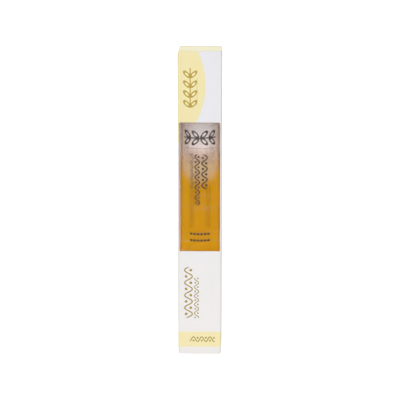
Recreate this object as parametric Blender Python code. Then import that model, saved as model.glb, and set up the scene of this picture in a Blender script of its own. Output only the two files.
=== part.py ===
"""Slim roll-on bottle of cuticle oil, standing in its folding carton with a film window.

The carton stands on its base with its window towards -Y, and the origin is under its middle.
It is one blank of board: each flat panel is a piece of its own, mitred where the board creases,
and the crease of a panel that opens is its hinge.
"""

import math

import bmesh
import bpy
from mathutils import Matrix, Vector

MM = 0.001

# Clearances, cutters and smoothness
SEAT_GAP = 0.3 * MM  # between two pieces that touch
CUT_OVERRUN = 2 * MM  # how far a cutter runs past what it cuts
MERGE_DISTANCE = 0.001 * MM
TURN_STEPS = 36
ARC_STEPS = 4
SMOOTH_ANGLE = math.radians(40)

# Glass bottle
BOTTLE_DIAMETER = 20 * MM
BODY_HEIGHT = 122.2 * MM
GLASS_WALL = 1.2 * MM
BASE_THICKNESS = 2.4 * MM
HEEL_RADIUS = 1.5 * MM
PUNT_DEPTH = 0.8 * MM
PUNT_MARGIN = 2.6 * MM
SHOULDER_RADIUS = 2.6 * MM
SHOULDER_RISE = 0.8 * MM
NECK_HEIGHT = 9.6 * MM
NECK_WALL = 1.9 * MM
NECK_FILLET = 0.6 * MM
LIP_RADIUS = 0.5 * MM

# Oil
OIL_FILL_SHARE = 0.746
MENISCUS_RISE = 0.5 * MM
MENISCUS_WIDTH = 1.5 * MM

# Roll-on fitment
PLUG_LENGTH = 10 * MM
PLUG_WALL = 1.0 * MM
CUP_WALL = 0.8 * MM
CUP_FLOOR = 1.2 * MM
HEAD_WALL = 1.2 * MM
FEED_HOLE_DIAMETER = 3 * MM
FLANGE_HEIGHT = 1.0 * MM
FLANGE_INSET = 0.4 * MM
CUP_LIFT_ANGLE = math.radians(27)  # from the lip, where the cup meets it, up to the ball's centre
CUP_RIM_ANGLE = math.radians(28)  # from the ball's centre up to the rim that traps it
CUP_STEPS = 8
BALL_SEGMENTS = 24
BALL_RINGS = 12
PLASTIC_EDGE_RADIUS = 0.3 * MM

# Cap
CAP_HEIGHT = 28 * MM
CAP_LIFT = 0.5 * MM
CAP_TONGUE_ROOM = 1.0 * MM
SHELL_WALL = 0.4 * MM
SHELL_TOP = 0.5 * MM
SHELL_EDGE_RADIUS = 1.0 * MM
LINER_WALL = 0.8 * MM
LINER_INSET = 0.4 * MM
LINER_PLATE = 1.0 * MM
THREAD_ROOM = 0.4 * MM
SEAL_WIDTH = 1.1 * MM

# Carton panels
BOARD = 0.4 * MM
SIDE_ROOM = 0.6 * MM
BACK_ROOM = 0.4 * MM
HEADROOM = 2.0 * MM
FOLD_RADIUS = 0.35 * MM
GLUE_FLAP_WIDTH = 6.5 * MM
GLUE_FLAP_INSET = 5 * MM
GLUE_FLAP_TAPER = 2 * MM

# Window and its film
WINDOW_BOTTOM = 54.5 * MM
WINDOW_HEIGHT = 66 * MM
WINDOW_RAIL = 0.75 * MM
WINDOW_TOP_RADIUS = 0.9 * MM
WINDOW_BOTTOM_RADIUS = 0.4 * MM
FILM = 0.15 * MM
FILM_LAP = 4 * MM
FILM_WING = 5 * MM
FILM_FOLD_RADIUS = 0.4 * MM

# Closures, alike at both ends
LID_SIDE_INSET = 0.2 * MM
TUCK_SLOT = 0.6 * MM
TONGUE_LENGTH = 8 * MM
TONGUE_SIDE_ROOM = 0.4 * MM
TONGUE_CORNER_RADIUS = 2.5 * MM
DUST_TIP_GAP = 4 * MM
DUST_FRONT_ROOM = 0.4 * MM
DUST_BACK_ROOM = 0.3 * MM
DUST_FRONT_TAPER = math.radians(15)
DUST_BACK_TAPER = math.radians(38)
DUST_CORNER_RADIUS = 1.5 * MM

# Across the carton, from the bottle outwards
bottle_radius = BOTTLE_DIAMETER / 2
carton_width = BOTTLE_DIAMETER + 2 * (SIDE_ROOM + BOARD)
tuck_stack = BOARD + TUCK_SLOT + BOARD
carton_depth = tuck_stack + SEAT_GAP + BOTTLE_DIAMETER + BACK_ROOM + BOARD
side_face = carton_width / 2
back_face = carton_depth / 2
front_face = -carton_depth / 2
front_inside = front_face + BOARD
tongue_front = front_inside + TUCK_SLOT
tongue_back = tongue_front + BOARD
bottle_y = tongue_back + SEAT_GAP + bottle_radius
fold_offset = SEAT_GAP / math.sqrt(2)  # on each of two mitred edges, it leaves the seat gap between them

# Up the carton, from the base
dust_depth = BOARD + SEAT_GAP
bottle_base = dust_depth + BOARD + SEAT_GAP
body_top = bottle_base + BODY_HEIGHT
shoulder_top = body_top + SHOULDER_RISE
lip_top = shoulder_top + NECK_HEIGHT
cap_bottom = shoulder_top + CAP_LIFT
cap_top = cap_bottom + CAP_HEIGHT
carton_height = cap_top + HEADROOM + BOARD + dust_depth

# From the cap inwards to the ball
cap_radius = bottle_y - tongue_back - CAP_TONGUE_ROOM
liner_radius = cap_radius - SHELL_WALL - SEAT_GAP
liner_bore = liner_radius - LINER_WALL
neck_radius = liner_bore - THREAD_ROOM
neck_bore = neck_radius - NECK_WALL
plug_radius = neck_bore - SEAT_GAP
cup_radius = (plug_radius - CUP_WALL) / math.cos(CUP_LIFT_ANGLE)
ball_radius = cup_radius - SEAT_GAP
ball_z = lip_top + cup_radius * math.sin(CUP_LIFT_ANGLE)
rim_z = ball_z + cup_radius * math.sin(CUP_RIM_ANGLE)


def clear_scene():
    for thing in list(bpy.data.objects):
        bpy.data.objects.remove(thing)


def linear(hex_colour):
    """Linear RGBA of a colour written as six hex digits."""
    channels = [int(hex_colour[place : place + 2], 16) / 255 for place in (0, 2, 4)]
    return [c / 12.92 if c <= 0.04045 else ((c + 0.055) / 1.055) ** 2.4 for c in channels] + [1.0]


def finish(name, hex_colour, roughness, metallic=0.0, transmission=0.0, ior=1.5):
    """A Principled material."""
    material = bpy.data.materials.new(name)
    material.use_nodes = True
    shader = material.node_tree.nodes["Principled BSDF"]
    shader.inputs["Base Color"].default_value = linear(hex_colour)
    shader.inputs["Roughness"].default_value = roughness
    shader.inputs["Metallic"].default_value = metallic
    shader.inputs["Transmission Weight"].default_value = transmission
    shader.inputs["IOR"].default_value = ior
    return material


def rounded(corners):
    """Outline through the corners, each (a, b, radius), with an arc wherever the radius isn't zero."""
    points = []
    for index, (a, b, radius) in enumerate(corners):
        corner = Vector((a, b))
        if not radius:
            points.append(corner)
            continue
        before = (Vector(corners[index - 1][:2]) - corner).normalized()
        after = (Vector(corners[(index + 1) % len(corners)][:2]) - corner).normalized()
        half = before.angle(after) / 2
        centre = corner + (before + after).normalized() * radius / math.sin(half)
        start = corner + before * radius / math.tan(half) - centre
        end = corner + after * radius / math.tan(half) - centre
        first = math.atan2(start.y, start.x)
        sweep = (math.atan2(end.y, end.x) - first + math.pi) % math.tau - math.pi
        for step in range(ARC_STEPS + 1):
            angle = first + sweep * step / ARC_STEPS
            points.append(centre + radius * Vector((math.cos(angle), math.sin(angle))))
    return points


def arc(radius, centre_z, first, last, steps):
    """Points (radius, z) of a sphere's profile between two angles above its equator."""
    angles = [first + (last - first) * step / steps for step in range(steps + 1)]
    return [Vector((radius * math.cos(a), centre_z + radius * math.sin(a))) for a in angles]


def world_place(thing):
    """Where an unturned object's origin is, parents included."""
    return thing.location + world_place(thing.parent) if thing.parent else thing.location.copy()


def add_object(name, mesh_data, material, origin, parent):
    """Object with its origin at a world point, from a mesh made in world coordinates."""
    bmesh.ops.recalc_face_normals(mesh_data, faces=mesh_data.faces)
    mesh = bpy.data.meshes.new(name)
    mesh_data.to_mesh(mesh)
    mesh_data.free()
    mesh.transform(Matrix.Translation(-Vector(origin)))
    mesh.shade_smooth()
    mesh.set_sharp_from_angle(angle=SMOOTH_ANGLE)
    if material:
        mesh.materials.append(material)
    thing = bpy.data.objects.new(name, mesh)
    bpy.context.collection.objects.link(thing)
    thing.parent = parent
    thing.location = Vector(origin) - (world_place(parent) if parent else Vector())
    return thing


def extruded(outline, axis, low, high):
    """Closed outline, drawn square to an axis, drawn out along it from low to high."""
    place = {
        "X": lambda a, b, along: (along, a, b),
        "Y": lambda a, b, along: (a, along, b),
        "Z": lambda a, b, along: (a, b, along),
    }[axis]
    mesh_data = bmesh.new()
    face = mesh_data.faces.new([mesh_data.verts.new(place(a, b, low)) for a, b in outline])
    grown = bmesh.ops.extrude_face_region(mesh_data, geom=[face])["geom"]
    moved = [item for item in grown if isinstance(item, bmesh.types.BMVert)]
    bmesh.ops.translate(mesh_data, verts=moved, vec=place(0, 0, high - low))
    return mesh_data


def turned(profile, closed):
    """Profile of (radius, z) points spun about the bottle's axis; a closed one makes a ring."""
    mesh_data = bmesh.new()
    verts = [mesh_data.verts.new((radius, 0, z)) for radius, z in profile]
    edges = [mesh_data.edges.new(pair) for pair in zip(verts, verts[1:])]
    if closed:
        edges.append(mesh_data.edges.new((verts[-1], verts[0])))
    bmesh.ops.spin(
        mesh_data,
        geom=verts + edges,
        cent=(0, 0, 0),
        axis=(0, 0, 1),
        angle=math.tau,
        steps=TURN_STEPS,
        use_merge=True,
    )
    bmesh.ops.remove_doubles(mesh_data, verts=mesh_data.verts, dist=MERGE_DISTANCE)
    bmesh.ops.translate(mesh_data, verts=mesh_data.verts, vec=(0, bottle_y, 0))
    return mesh_data


def join_or_cut(thing, other, operation):
    """Boolean of a hidden helper object with a piece."""
    other.hide_render = True
    other.display_type = "WIRE"
    modifier = thing.modifiers.new(other.name, "BOOLEAN")
    modifier.operation = operation
    modifier.solver = "EXACT"
    modifier.object = other


def at_end(end, depth):
    """Height of what lies a depth inside the carton's top or bottom."""
    return carton_height - depth if end == "top" else depth


def mitre_ends(panel, axis, outside, inward, first_depth, half_length):
    """Trims a panel's top and bottom to 45 degrees, so that its outer face is the taller one."""
    for end in ("top", "bottom"):
        start = outside - inward * CUT_OVERRUN
        stop = outside + inward * (BOARD + CUT_OVERRUN)
        above = at_end(end, -CUT_OVERRUN)
        corners = [
            (start, at_end(end, first_depth - CUT_OVERRUN), 0),
            (stop, at_end(end, first_depth + BOARD + CUT_OVERRUN), 0),
            (stop, above, 0),
            (start, above, 0),
        ]
        span = half_length + CUT_OVERRUN
        wedge = extruded(rounded(corners), axis, -span, span)
        cutter = add_object(f"{panel.name}_{end}_mitre", wedge, None, (0, 0, 0), None)
        join_or_cut(panel, cutter, "DIFFERENCE")


def panel_plan(outer, inner, half_length):
    """Plan of an upright panel, as (across, along): its ends are mitred towards its inner face."""
    crease = half_length - fold_offset
    return [(outer, -crease), (outer, crease), (inner, crease - BOARD), (inner, BOARD - crease)]


def make_back(board):
    """Back panel, which carries both lids."""
    plan = [(along, across) for across, along in panel_plan(back_face, back_face - BOARD, side_face)]
    back = add_object("carton_back", extruded(plan, "Z", 0, carton_height), board, (0, 0, 0), None)
    mitre_ends(back, "X", back_face, -1, fold_offset, side_face)
    return back


def make_front(board, back):
    """Front panel, with the window cut out of it."""
    plan = [(along, across) for across, along in panel_plan(front_face, front_inside, side_face)]
    front = add_object("carton_front", extruded(plan, "Z", 0, carton_height), board, (0, 0, 0), back)

    window_side = side_face - WINDOW_RAIL
    window_top = WINDOW_BOTTOM + WINDOW_HEIGHT
    window_corners = [
        (-window_side, WINDOW_BOTTOM, WINDOW_BOTTOM_RADIUS),
        (window_side, WINDOW_BOTTOM, WINDOW_BOTTOM_RADIUS),
        (window_side, window_top, WINDOW_TOP_RADIUS),
        (-window_side, window_top, WINDOW_TOP_RADIUS),
    ]
    window = extruded(rounded(window_corners), "Y", front_face - CUT_OVERRUN, front_inside + CUT_OVERRUN)
    join_or_cut(front, add_object("window_cutter", window, None, (0, 0, 0), None), "DIFFERENCE")
    return front


def make_side(side_name, side, board, back):
    """Side panel, lower than the front by the room that its dust flaps take under the lids."""
    plan = panel_plan(side * side_face, side * (side_face - BOARD), back_face)
    panel = extruded(plan, "Z", 0, carton_height)
    panel = add_object(f"carton_{side_name}", panel, board, (0, 0, 0), back)
    mitre_ends(panel, "Y", side * side_face, -side, dust_depth + fold_offset, back_face)
    return panel


def make_glue_flap(board, back):
    """Tapered flap, folded forward from the back panel and glued inside the left panel."""
    crease = back_face - BOARD - SEAT_GAP
    tip = crease - GLUE_FLAP_WIDTH
    low = GLUE_FLAP_INSET
    high = carton_height - GLUE_FLAP_INSET
    outline = rounded(
        [
            (crease, low, 0),
            (tip, low + GLUE_FLAP_TAPER, 0),
            (tip, high - GLUE_FLAP_TAPER, 0),
            (crease, high, 0),
        ]
    )
    outside = -side_face + BOARD + SEAT_GAP
    flap = extruded(outline, "X", outside, outside + BOARD)
    add_object("carton_glue_flap", flap, board, (0, 0, 0), back)


def make_film(clear_film, front_panel):
    """Clear sheet behind the window, folded back onto both sides where it is glued."""
    outside = side_face - BOARD - SEAT_GAP
    inside = outside - FILM
    front = front_inside + SEAT_GAP
    wing_end = front + FILM_WING
    inner_fold = FILM_FOLD_RADIUS - FILM
    outline = rounded(
        [
            (-outside, wing_end, 0),
            (-outside, front, FILM_FOLD_RADIUS),
            (outside, front, FILM_FOLD_RADIUS),
            (outside, wing_end, 0),
            (inside, wing_end, 0),
            (inside, front + FILM, inner_fold),
            (-inside, front + FILM, inner_fold),
            (-inside, wing_end, 0),
        ]
    )
    low = WINDOW_BOTTOM - FILM_LAP
    high = WINDOW_BOTTOM + WINDOW_HEIGHT + FILM_LAP
    add_object("window_film", extruded(outline, "Z", low, high), clear_film, (0, 0, 0), front_panel)


def make_lid(end, board, back_panel):
    """Panel across the whole end, hinged on the back panel's edge."""
    back = back_face - fold_offset
    profile = rounded(
        [
            (tongue_front, at_end(end, 0), FOLD_RADIUS),
            (back, at_end(end, 0), 0),
            (back - BOARD, at_end(end, BOARD), 0),
            (tongue_front, at_end(end, BOARD), 0),
        ]
    )
    half_width = side_face - LID_SIDE_INSET
    panel = extruded(profile, "X", -half_width, half_width)
    return add_object(f"{end}_lid", panel, board, (0, back_face, at_end(end, 0)), back_panel)


def make_tongue(end, board, lid):
    """Round-cornered tongue that tucks in behind the front panel, hinged on the lid's inner edge."""
    half_width = side_face - BOARD - TONGUE_SIDE_ROOM
    root = at_end(end, BOARD + SEAT_GAP)
    tip = at_end(end, BOARD + TONGUE_LENGTH)
    outline = rounded(
        [
            (-half_width, root, 0),
            (half_width, root, 0),
            (half_width, tip, TONGUE_CORNER_RADIUS),
            (-half_width, tip, TONGUE_CORNER_RADIUS),
        ]
    )
    tongue = extruded(outline, "Y", tongue_front, tongue_back)
    add_object(f"{end}_tongue", tongue, board, (0, tongue_back, at_end(end, BOARD)), lid)


def make_dust_flap(end, side_name, side, board, side_panel):
    """Tapered flap under the lid, hinged on a side panel's edge."""
    crease = side_face - fold_offset
    tip = DUST_TIP_GAP / 2
    front = tongue_back + DUST_FRONT_ROOM
    back = back_face - BOARD - DUST_BACK_ROOM
    reach = crease - tip
    outline = rounded(
        [
            (side * crease, front, 0),
            (side * tip, front + reach * math.tan(DUST_FRONT_TAPER), DUST_CORNER_RADIUS),
            (side * tip, back - reach * math.tan(DUST_BACK_TAPER), DUST_CORNER_RADIUS),
            (side * crease, back, 0),
        ]
    )
    outer = at_end(end, dust_depth)
    flap = extruded(outline, "Z", outer, at_end(end, dust_depth + BOARD))
    deeper = -1 if end == "top" else 1
    mitre = bmesh.ops.bisect_plane(
        flap,
        geom=flap.verts[:] + flap.edges[:] + flap.faces[:],
        dist=MERGE_DISTANCE,
        plane_co=(side * crease, 0, outer),
        plane_no=(side, 0, deeper),
        clear_outer=True,
    )
    cut_edges = [item for item in mitre["geom_cut"] if isinstance(item, bmesh.types.BMEdge)]
    bmesh.ops.holes_fill(flap, edges=cut_edges)
    add_object(f"{end}_dust_flap_{side_name}", flap, board, (side * side_face, 0, outer), side_panel)


def make_closure(end, board, back, left, right):
    lid = make_lid(end, board, back)
    make_tongue(end, board, lid)
    make_dust_flap(end, "left", -1, board, left)
    make_dust_flap(end, "right", 1, board, right)


def make_bottle(glass, back):
    """Round bottle with a pushed-up base, a soft shoulder and a plain neck."""
    floor = bottle_base + BASE_THICKNESS
    wall_inside = bottle_radius - GLASS_WALL
    stand = bottle_radius - PUNT_MARGIN
    profile = rounded(
        [
            (0, floor, 0),
            (wall_inside, floor, HEEL_RADIUS),
            (wall_inside, body_top - GLASS_WALL, SHOULDER_RADIUS - GLASS_WALL),
            (neck_bore, shoulder_top - GLASS_WALL, NECK_FILLET),
            (neck_bore, lip_top, LIP_RADIUS),
            (neck_radius, lip_top, LIP_RADIUS),
            (neck_radius, shoulder_top, NECK_FILLET),
            (bottle_radius, body_top, SHOULDER_RADIUS),
            (bottle_radius, bottle_base, HEEL_RADIUS),
            (stand, bottle_base, 0),
            (stand - PUNT_DEPTH, bottle_base + PUNT_DEPTH, 0),
            (0, bottle_base + PUNT_DEPTH, 0),
        ]
    )
    place = (0, bottle_y, bottle_base)
    return add_object("glass_bottle", turned(profile, closed=False), glass, place, back)


def make_oil(oil, bottle):
    """Oil up to its level, climbing a little at the glass."""
    floor = bottle_base + BASE_THICKNESS
    level = floor + OIL_FILL_SHARE * BODY_HEIGHT
    radius = bottle_radius - GLASS_WALL - SEAT_GAP
    profile = rounded(
        [
            (0, floor + SEAT_GAP, 0),
            (radius, floor + SEAT_GAP, HEEL_RADIUS),
            (radius, level + MENISCUS_RISE, 0),
            (radius - MENISCUS_WIDTH, level, MENISCUS_WIDTH),
            (0, level, 0),
        ]
    )
    add_object("oil_fill", turned(profile, closed=False), oil, (0, bottle_y, floor), bottle)


def make_housing(plastic, bottle):
    """Plug pressed into the neck: a feed hole below, and a cup whose rim traps the ball."""
    feed = FEED_HOLE_DIAMETER / 2
    cup_foot = math.acos(feed / cup_radius)
    well_top = ball_z - cup_radius * math.sin(cup_foot) - CUP_FLOOR
    plug_foot = lip_top - PLUG_LENGTH
    flange_foot = lip_top + SEAT_GAP
    flange_top = flange_foot + FLANGE_HEIGHT
    flange = neck_radius - FLANGE_INSET
    head = cup_radius + HEAD_WALL
    outside = rounded(
        [
            (feed, well_top, 0),
            (plug_radius - PLUG_WALL, well_top, PLASTIC_EDGE_RADIUS),
            (plug_radius - PLUG_WALL, plug_foot, 0),
            (plug_radius, plug_foot, PLASTIC_EDGE_RADIUS),
            (plug_radius, flange_foot, 0),
            (flange, flange_foot, 0),
            (flange, flange_top, PLASTIC_EDGE_RADIUS),
            (head, flange_top, 0),
            (head, rim_z, PLASTIC_EDGE_RADIUS),
            (cup_radius * math.cos(CUP_RIM_ANGLE), rim_z, 0),
        ]
    )
    cup = arc(cup_radius, ball_z, CUP_RIM_ANGLE, -cup_foot, CUP_STEPS)
    profile = outside[:-1] + cup
    place = (0, bottle_y, lip_top)
    return add_object("roller_housing", turned(profile, closed=True), plastic, place, bottle)


def make_ball(steel, housing):
    centre = (0, bottle_y, ball_z)
    ball = bmesh.new()
    bmesh.ops.create_uvsphere(
        ball,
        u_segments=BALL_SEGMENTS,
        v_segments=BALL_RINGS,
        radius=ball_radius,
        matrix=Matrix.Translation(centre),
    )
    add_object("roller_ball", ball, steel, centre, housing)


def make_cap(plastic, plated, bottle):
    """Screw liner with a ring that seals on the ball's cup, and the metal shell round it."""
    shell_bore = cap_radius - SHELL_WALL
    shell_profile = rounded(
        [
            (0, cap_top, 0),
            (cap_radius, cap_top, SHELL_EDGE_RADIUS),
            (cap_radius, cap_bottom, 0),
            (shell_bore, cap_bottom, 0),
            (shell_bore, cap_top - SHELL_TOP, SHELL_EDGE_RADIUS - SHELL_WALL),
            (0, cap_top - SHELL_TOP, 0),
        ]
    )
    place = (0, bottle_y, cap_bottom)
    shell = add_object("cap_shell", turned(shell_profile, closed=False), plated, place, bottle)

    plate_foot = ball_z + ball_radius + SEAT_GAP
    plate_top = plate_foot + LINER_PLATE
    liner_foot = cap_bottom + LINER_INSET
    liner_top = cap_top - SHELL_TOP - SEAT_GAP
    seal_bore = cup_radius * math.cos(CUP_RIM_ANGLE)
    seal_radius = seal_bore + SEAL_WIDTH
    liner_profile = rounded(
        [
            (0, plate_top, 0),
            (liner_bore, plate_top, PLASTIC_EDGE_RADIUS),
            (liner_bore, liner_top, 0),
            (liner_radius, liner_top, PLASTIC_EDGE_RADIUS),
            (liner_radius, liner_foot, 0),
            (liner_bore, liner_foot, PLASTIC_EDGE_RADIUS),
            (liner_bore, plate_foot, 0),
            (seal_radius, plate_foot, 0),
            (seal_radius, rim_z + SEAT_GAP, 0),
            (seal_bore, rim_z + SEAT_GAP, 0),
            (seal_bore, plate_foot, 0),
            (0, plate_foot, 0),
        ]
    )
    add_object("cap_liner", turned(liner_profile, closed=False), plastic, place, shell)


def build():
    clear_scene()
    board = finish("printed_board", "EBEBE9", roughness=0.55)
    back = make_back(board)
    front = make_front(board, back)
    left = make_side("left", -1, board, back)
    right = make_side("right", 1, board, back)
    make_glue_flap(board, back)
    make_film(finish("clear_film", "FFFFFF", roughness=0.05, transmission=1.0, ior=1.45), front)
    make_closure("top", board, back, left, right)
    make_closure("bottom", board, back, left, right)

    bottle = make_bottle(finish("clear_glass", "FFFFFF", roughness=0.03, transmission=1.0), back)
    make_oil(finish("amber_oil", "C98F04", roughness=0.05, transmission=0.6, ior=1.47), bottle)
    housing = make_housing(finish("natural_plastic", "E9E7E0", roughness=0.4), bottle)
    make_ball(finish("polished_steel", "D8D9DB", roughness=0.08, metallic=1.0), housing)
    white_plastic = finish("white_plastic", "F0EFEC", roughness=0.45)
    make_cap(white_plastic, finish("satin_gold", "C9A85A", roughness=0.3, metallic=1.0), bottle)


build()
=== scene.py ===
import functools
import math

import bpy
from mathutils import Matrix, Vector


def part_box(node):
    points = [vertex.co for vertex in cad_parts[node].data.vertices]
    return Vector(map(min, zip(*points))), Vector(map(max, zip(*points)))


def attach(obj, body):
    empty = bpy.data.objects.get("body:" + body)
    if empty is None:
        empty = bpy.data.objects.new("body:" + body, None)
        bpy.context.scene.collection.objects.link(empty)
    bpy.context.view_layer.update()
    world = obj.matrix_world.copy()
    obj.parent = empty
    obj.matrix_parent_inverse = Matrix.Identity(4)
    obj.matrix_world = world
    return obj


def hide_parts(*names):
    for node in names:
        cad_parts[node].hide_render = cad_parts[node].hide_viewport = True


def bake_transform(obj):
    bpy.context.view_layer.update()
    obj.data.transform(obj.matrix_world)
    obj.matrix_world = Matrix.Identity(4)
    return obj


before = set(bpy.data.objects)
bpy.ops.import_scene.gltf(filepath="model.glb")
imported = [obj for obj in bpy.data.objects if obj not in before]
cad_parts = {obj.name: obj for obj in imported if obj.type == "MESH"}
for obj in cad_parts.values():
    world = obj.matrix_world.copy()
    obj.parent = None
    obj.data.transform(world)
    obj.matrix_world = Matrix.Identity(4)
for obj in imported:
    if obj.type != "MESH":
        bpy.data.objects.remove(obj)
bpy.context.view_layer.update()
bpy.ops.object.select_all(action="DESELECT")

# Glass bottle
# A straight round bottle of clear glass, blown in a mould, with a pushed-up base and a soft shoulder.
# It stands on the carton's closed base and carries the oil, the roller and the cap.
MM = 0.001
glass_low, glass_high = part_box("glass_bottle")
bottle_y = (glass_low.y + glass_high.y) / 2
GLASS_RADIUS = 10 * MM
GLASS_BORE = 8.8 * MM
GLASS_FLOOR = 3.8 * MM
GLASS_BASE = 1.4 * MM
GLASS_SHOULDER = 123.6 * MM
GLASS_NECK_FOOT = 124.4 * MM
GLASS_LIP = 134 * MM
NECK_RADIUS = 7.4 * MM
NECK_BORE = 5.5 * MM
GLASS_WALL = GLASS_RADIUS - GLASS_BORE
HEEL_ROUND = 1.5 * MM
SHOULDER_ROUND = 2.6 * MM
NECK_ROUND = 0.6 * MM
LIP_ROUND = 0.5 * MM
PUNT_RADIUS = 7.4 * MM
PUNT_RISE = 0.8 * MM
GLASS_FACE = "FFFEFF"
GLASS_RIM_SHADE = "B8843C"
RIM_SHADE_START = 0.5  # how far the glass turns away, of 1, before the painted shade on its rim begins
MIRROR_SHARE = 0.12  # of what plain glass mirrors
SHADOW_SHARE = 0.1  # of the shadow that an opaque bottle throws
TURN_STEPS = 96
ARC_STEPS = 6
MERGE = 0.0005 * MM
SMOOTH_ANGLE = math.radians(35)


def rounded(corners):
    """Outline through corners (across, up, radius), with an arc wherever the radius isn't zero."""
    points = []
    for index, (across, up, radius) in enumerate(corners):
        corner = Vector((across, up))
        if not radius:
            points.append(corner)
            continue
        before = (Vector(corners[index - 1][:2]) - corner).normalized()
        after = (Vector(corners[(index + 1) % len(corners)][:2]) - corner).normalized()
        half = before.angle(after) / 2
        centre = corner + (before + after).normalized() * radius / math.sin(half)
        start = corner + before * radius / math.tan(half) - centre
        end = corner + after * radius / math.tan(half) - centre
        first = math.atan2(start.y, start.x)
        sweep = (math.atan2(end.y, end.x) - first + math.pi) % math.tau - math.pi
        for step in range(ARC_STEPS + 1):
            angle = first + sweep * step / ARC_STEPS
            points.append(centre + radius * Vector((math.cos(angle), math.sin(angle))))
    return points


def draw_outline(name, points, closed):
    """New object with a line through 3-D points, extruded vertex by vertex. It stays in edit mode."""
    bpy.ops.object.select_all(action="DESELECT")
    bpy.ops.mesh.primitive_plane_add(size=MM)
    piece = bpy.context.object
    piece.name = piece.data.name = name
    bpy.ops.object.mode_set(mode="EDIT")
    bpy.ops.mesh.select_mode(type="VERT")
    bpy.ops.mesh.select_all(action="SELECT")
    bpy.ops.mesh.merge(type="CENTER")
    bpy.ops.transform.translate(value=points[0])
    route = list(points) + [points[0]] * closed
    for before, after in zip(route, route[1:]):
        bpy.ops.mesh.extrude_region_move(TRANSFORM_OT_translate={"value": after - before})
    bpy.ops.mesh.select_all(action="SELECT")
    bpy.ops.mesh.remove_doubles(threshold=MERGE)
    return piece


def close_up():
    """Merges doubles, turns the faces outwards and leaves edit mode with smooth shading."""
    bpy.ops.mesh.select_all(action="SELECT")
    bpy.ops.mesh.remove_doubles(threshold=MERGE)
    bpy.ops.mesh.normals_make_consistent(inside=False)
    bpy.ops.object.mode_set(mode="OBJECT")
    bpy.ops.object.shade_smooth_by_angle(angle=SMOOTH_ANGLE)


def turn(name, half_section, closed=False):
    """Half a section, as (radius, height) points, spun about the bottle's axis."""
    points = [Vector((point[0], bottle_y, point[1])) for point in half_section]
    piece = draw_outline(name, points, closed)
    bpy.ops.mesh.spin(steps=TURN_STEPS, angle=math.tau, center=(0, bottle_y, 0), axis=(0, 0, 1))
    close_up()
    return piece


def linear(hex_colour):
    """Linear RGBA of a colour written as six hex digits."""
    channels = [int(hex_colour[place : place + 2], 16) / 255 for place in (0, 2, 4)]
    return [c / 12.92 if c <= 0.04045 else ((c + 0.055) / 1.055) ** 2.4 for c in channels] + [1]


class Nodes:
    """Short ways to add and join the nodes of a material, a node group or the world."""

    def __init__(self, tree):
        self.nodes, self.links = tree.nodes, tree.links

    def node(self, kind, settings=None, **inputs):
        """A node with these settings, its inputs filled with values, colours or other outputs."""
        made = self.nodes.new(kind)
        for setting, value in (settings or {}).items():
            setattr(made, setting, value)
        for socket, value in inputs.items():
            self.feed(made, socket, value)
        return made

    def feed(self, node, socket, value):
        """Fills one input, named with _ for its spaces or numbered, as in _2."""
        key = int(socket[1:]) if socket[0] == "_" else socket.replace("_", " ")
        if isinstance(value, bpy.types.NodeSocket):
            self.links.new(value, node.inputs[key])
        else:
            node.inputs[key].default_value = value

    def maths(self, operation, *values):
        """Result of one Math node."""
        inputs = {f"_{index}": value for index, value in enumerate(values)}
        return self.node("ShaderNodeMath", {"operation": operation}, **inputs).outputs[0]

    def times(self, *values):
        return functools.reduce(lambda first, second: self.maths("MULTIPLY", first, second), values)

    def largest(self, *values):
        return functools.reduce(lambda first, second: self.maths("MAXIMUM", first, second), values)

    def length(self, across, along):
        """Length of the diagonal of two distances."""
        return self.maths("SQRT", self.maths("MULTIPLY_ADD", across, across, self.times(along, along)))

    def ramp(self, value, low, high, to_low=0.0, to_high=1.0, smooth=False):
        """Goes from one end value to the other while the value goes from low to high."""
        made = self.node(
            "ShaderNodeMapRange",
            {"interpolation_type": "SMOOTHSTEP" if smooth else "LINEAR"},
            Value=value,
            From_Min=low,
            From_Max=high,
            To_Min=to_low,
            To_Max=to_high,
        )
        return made.outputs[0]

    def mix(self, mask, first, second):
        """Colour that goes from the first to the second as the mask goes from 0 to 1."""
        first, second = (linear(c) if isinstance(c, str) else c for c in (first, second))
        made = self.node("ShaderNodeMix", {"data_type": "RGBA"}, _0=mask, _6=first, _7=second)
        return made.outputs[2]

    def group(self, tree, **inputs):
        return self.node("ShaderNodeGroup", {"node_tree": tree}, **inputs)


class Finish(Nodes):
    """A Principled material, and the place on its piece that its patterns are drawn from."""

    def __init__(self, name, colour, **sockets):
        self.material = bpy.data.materials.new(name)
        self.material.use_nodes = True
        super().__init__(self.material.node_tree)
        self.shader = self.nodes["Principled BSDF"]
        self.give(Base_Color=linear(colour), **sockets)
        self.place = self.node("ShaderNodeTexCoord").outputs["Object"]

    def give(self, **sockets):
        """Fills inputs of the shader."""
        for socket, value in sockets.items():
            self.feed(self.shader, socket, value)

    def split_place(self):
        """The place's x, y and z."""
        return self.node("ShaderNodeSeparateXYZ", Vector=self.place).outputs

    def bump(self, height, distance, strength=1.0):
        made = self.node("ShaderNodeBump", Height=height, Distance=distance, Strength=strength)
        self.give(Normal=made.outputs[0])

    def put_on(self, piece):
        piece.data.materials.clear()
        piece.data.materials.append(self.material)


def start_group(name, inputs, outputs):
    """Node group with its sockets, as (the group, its nodes, its inputs' outputs, its output node)."""
    tree = bpy.data.node_groups.new(name, "ShaderNodeTree")
    for label, value in inputs.items():
        kind = "NodeSocketVector" if isinstance(value, tuple) else "NodeSocketFloat"
        tree.interface.new_socket(label, in_out="INPUT", socket_type=kind).default_value = value
    for label in outputs:
        tree.interface.new_socket(label, in_out="OUTPUT", socket_type="NodeSocketFloat")
    inside = Nodes(tree)
    return tree, inside, inside.node("NodeGroupInput").outputs, inside.node("NodeGroupOutput")


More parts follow.
